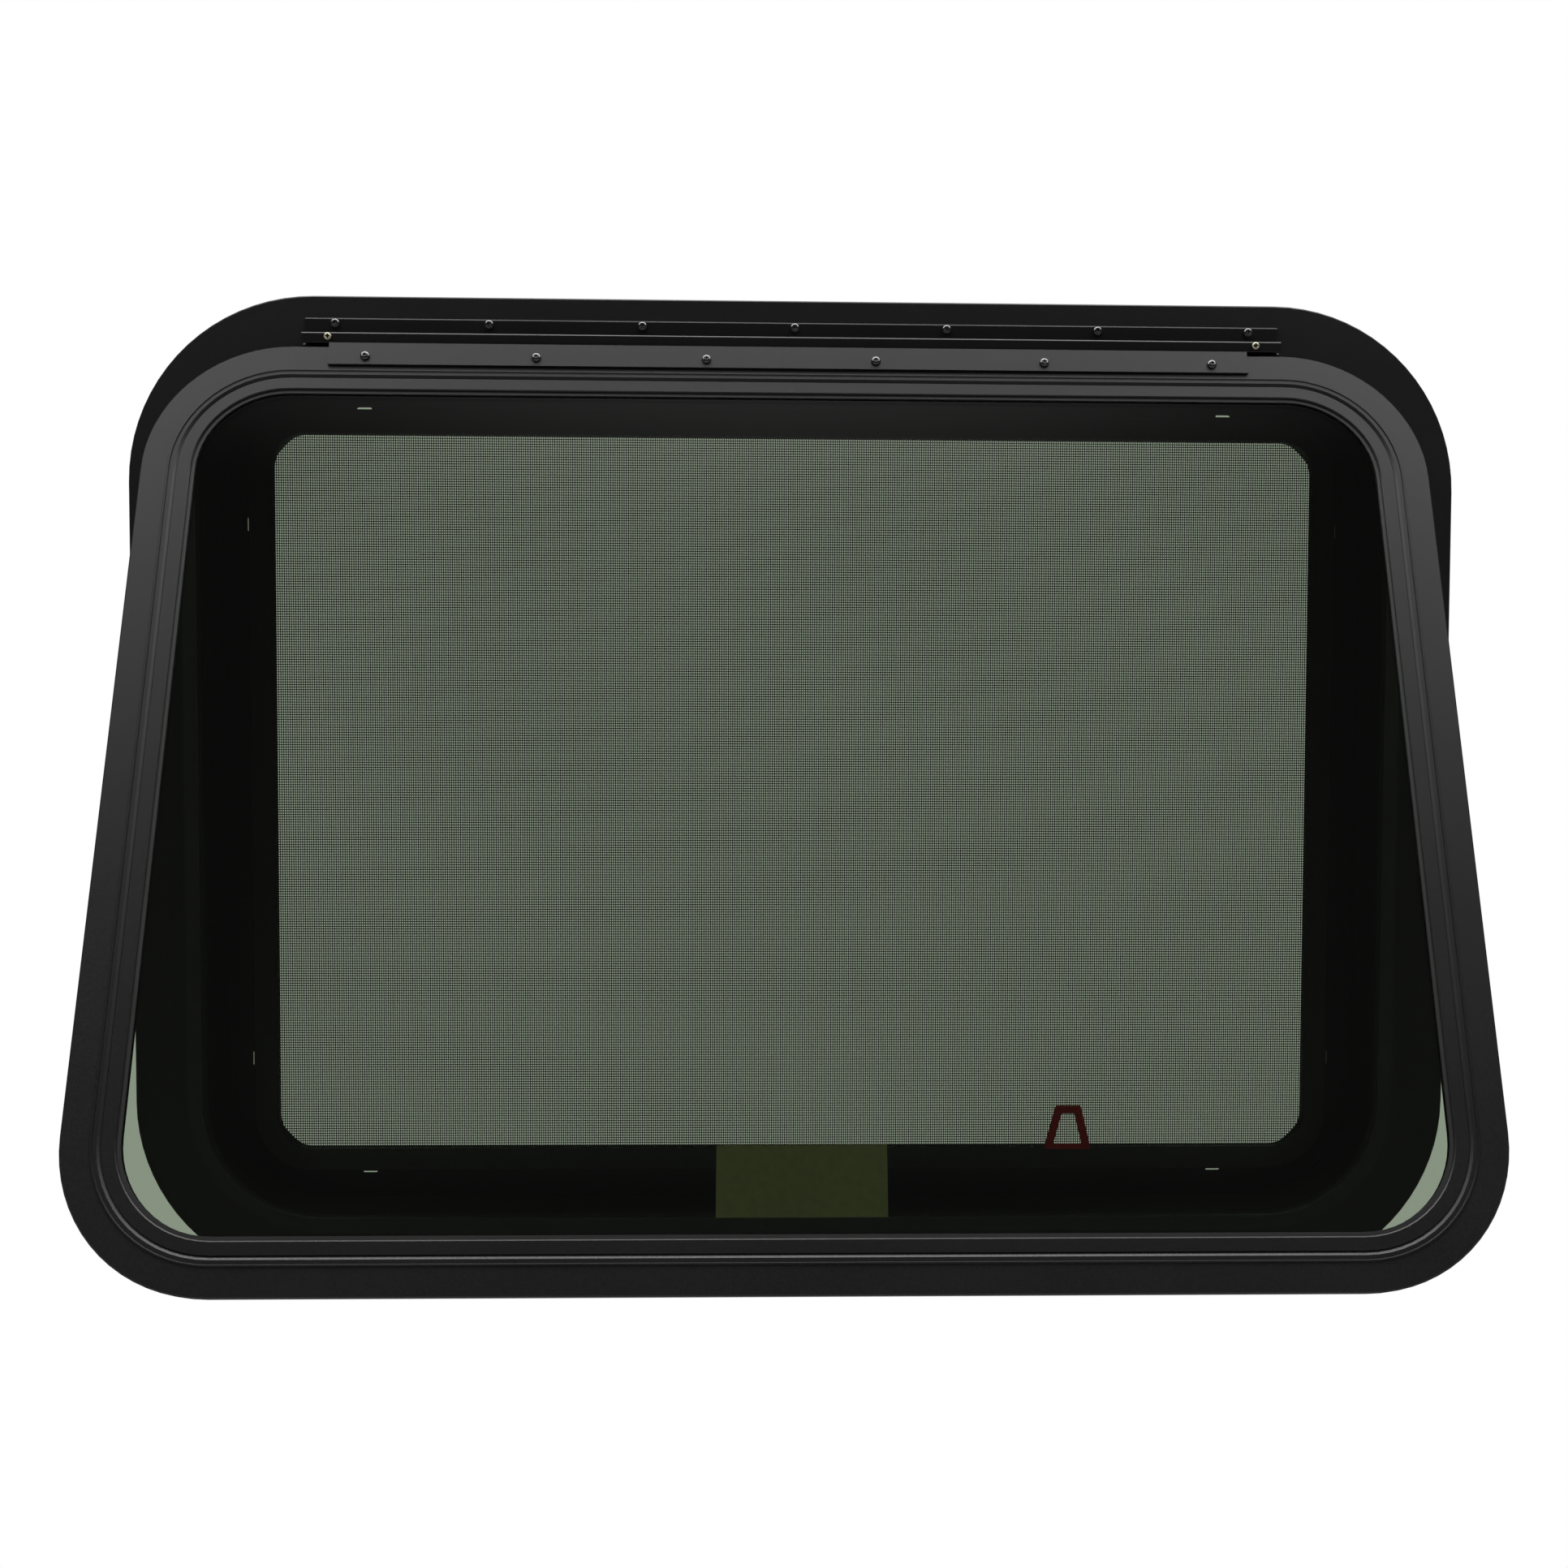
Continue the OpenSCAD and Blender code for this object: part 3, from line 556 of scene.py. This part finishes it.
def pale(name, colour):
    """A matt surface that shows white where it is seen plainly, and reflects as its colour."""
    mat = bpy.data.materials.new(name)
    mat.use_nodes = True
    tree = mat.node_tree
    tree.nodes.clear()
    out = tree.nodes.new("ShaderNodeOutputMaterial")
    matt = tree.nodes.new("ShaderNodeBsdfDiffuse")
    matt.inputs["Color"].default_value = (colour, colour, colour, 1.0)
    glow = tree.nodes.new("ShaderNodeEmission")
    glow.inputs["Strength"].default_value = 1.0
    both = tree.nodes.new("ShaderNodeMixShader")
    tree.links.new(seen_plainly(tree), both.inputs["Fac"])
    tree.links.new(matt.outputs["BSDF"], both.inputs[1])
    tree.links.new(glow.outputs["Emission"], both.inputs[2])
    tree.links.new(both.outputs["Shader"], out.inputs["Surface"])
    return mat


floor_half, floor_z = 9.0, -1.3
around = ((-1, -1), (1, -1), (1, 1), (-1, 1))
floor_corners = [(x * floor_half, y * floor_half, floor_z) for x, y in around]
floor_mesh = bpy.data.meshes.new("floor")
floor_mesh.from_pydata(floor_corners, [], [(0, 1, 2, 3)])
floor_mesh.materials.append(pale("pale_floor", 0.5))
floor = bpy.data.objects.new("floor", floor_mesh)
bpy.context.scene.collection.objects.link(floor)

world = bpy.data.worlds.new("studio")
bpy.context.scene.world = world
world.use_nodes = True
sky = world.node_tree
sky.nodes.clear()
sky_out = sky.nodes.new("ShaderNodeOutputWorld")
room = sky.nodes.new("ShaderNodeBackground")
seen = sky.nodes.new("ShaderNodeBackground")
seen.inputs["Color"].default_value = (1.0, 1.0, 1.0, 1.0)
seen.inputs["Strength"].default_value = 1.0
look = sky.nodes.new("ShaderNodeTexCoord")
parts = sky.nodes.new("ShaderNodeSeparateXYZ")
sky.links.new(look.outputs["Generated"], parts.inputs["Vector"])
climb = sky.nodes.new("ShaderNodeMapRange")
climb.interpolation_type = "SMOOTHSTEP"
climb.inputs["From Min"].default_value = 0.72
climb.inputs["From Max"].default_value = 1.0
climb.inputs["To Min"].default_value = 0.07
climb.inputs["To Max"].default_value = 3.2
sky.links.new(parts.outputs["Z"], climb.inputs["Value"])
sky.links.new(climb.outputs["Result"], room.inputs["Strength"])
sky_both = sky.nodes.new("ShaderNodeMixShader")
sky.links.new(seen_plainly(sky), sky_both.inputs["Fac"])
sky.links.new(room.outputs["Background"], sky_both.inputs[1])
sky.links.new(seen.outputs["Background"], sky_both.inputs[2])
sky.links.new(sky_both.outputs["Shader"], sky_out.inputs["Surface"])


def soft_lamp(name, at, aim, wide, high, watts):
    """A rectangular lamp at a place, turned to a point it aims at."""
    data = bpy.data.lights.new(name, "AREA")
    data.shape = "RECTANGLE"
    data.size, data.size_y, data.energy = wide, high, watts
    lamp = bpy.data.objects.new(name, data)
    bpy.context.scene.collection.objects.link(lamp)
    way = Vector(aim) - Vector(at)
    lamp.location = at
    lamp.rotation_mode = "QUATERNION"
    lamp.rotation_quaternion = way.to_track_quat("-Z", "Y")


soft_lamp("overhead_lamp", (0.0, -0.12, 1.25), (0.0, -0.06, 0.0), wide=2.2, high=0.5, watts=21.0)
for side in (-1.0, 1.0):
    at = (1.65 * side, -1.1, 1.9)
    soft_lamp("side_lamp", at, (0.0, 0.0, 0.0), wide=0.9, high=0.9, watts=13.5)


# The camera stands 1.1 m in front of the window, a little to its left and above its middle, and
# looks slightly down and to the right. Its lens and shift are in pixels of the whole picture.

picture, focal = 1932.0, 2210.0
axis_x, axis_y = 1012.2, 1035.1
camera_data = bpy.data.cameras.new("camera")
camera_data.sensor_width = 36.0
camera_data.lens = camera_data.sensor_width * focal / picture
camera_data.shift_x = (picture / 2 - axis_x) / picture
camera_data.shift_y = (axis_y - picture / 2) / picture
yaw, pitch, roll = math.radians(-1.67), math.radians(-2.58), math.radians(0.21)
ahead = Vector((-math.sin(yaw) * math.cos(pitch), math.cos(yaw) * math.cos(pitch), math.sin(pitch)))
level = Vector((math.cos(yaw), math.sin(yaw), 0.0))
upward = level.cross(ahead)
rightward = math.cos(roll) * level + math.sin(roll) * upward
above = math.cos(roll) * upward - math.sin(roll) * level
camera = bpy.data.objects.new("camera", camera_data)
bpy.context.scene.collection.objects.link(camera)
camera.location = (-0.0167, -1.1110, 0.0234)
camera.rotation_mode = "QUATERNION"
camera.rotation_quaternion = Matrix((rightward, above, -ahead)).transposed().to_quaternion()
bpy.context.scene.camera = camera
bpy.context.scene.view_settings.view_transform = "Standard"
